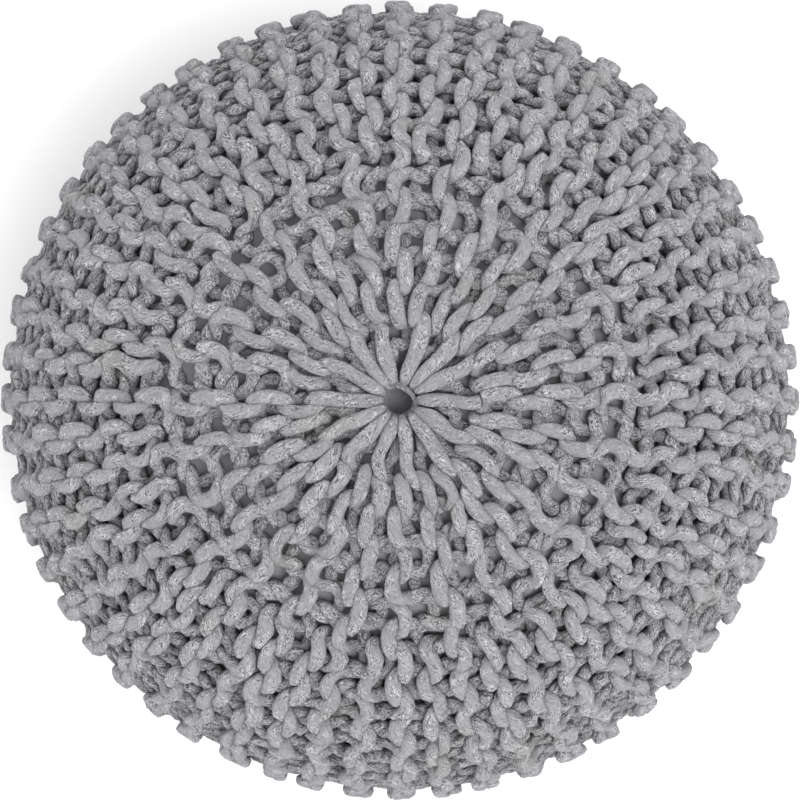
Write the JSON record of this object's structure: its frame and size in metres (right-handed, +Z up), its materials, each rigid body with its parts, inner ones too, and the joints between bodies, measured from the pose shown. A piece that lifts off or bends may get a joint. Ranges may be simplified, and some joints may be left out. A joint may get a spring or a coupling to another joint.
{
  "type": "knitted pouf",
  "caption": "Round floor pouf: chunky garter-stitch cover gathered to a small hole at each end, over a filled inner casing.",
  "frame": {"origin": "middle of the underside, on the surface that the pouf rests on", "axes": "+Z up through both gathered holes; +X along the crest of one knitted ridge"},
  "size_m": [0.5, 0.5, 0.35],
  "materials": {
    "yarn": "matt soft cotton rope, light cool grey",
    "casing": "matt smooth woven cotton, mid grey"
  },
  "bodies": {
    "root": {"knitted_cover": "yarn", "inner_casing": "casing"}
  },
  "joints": []
}
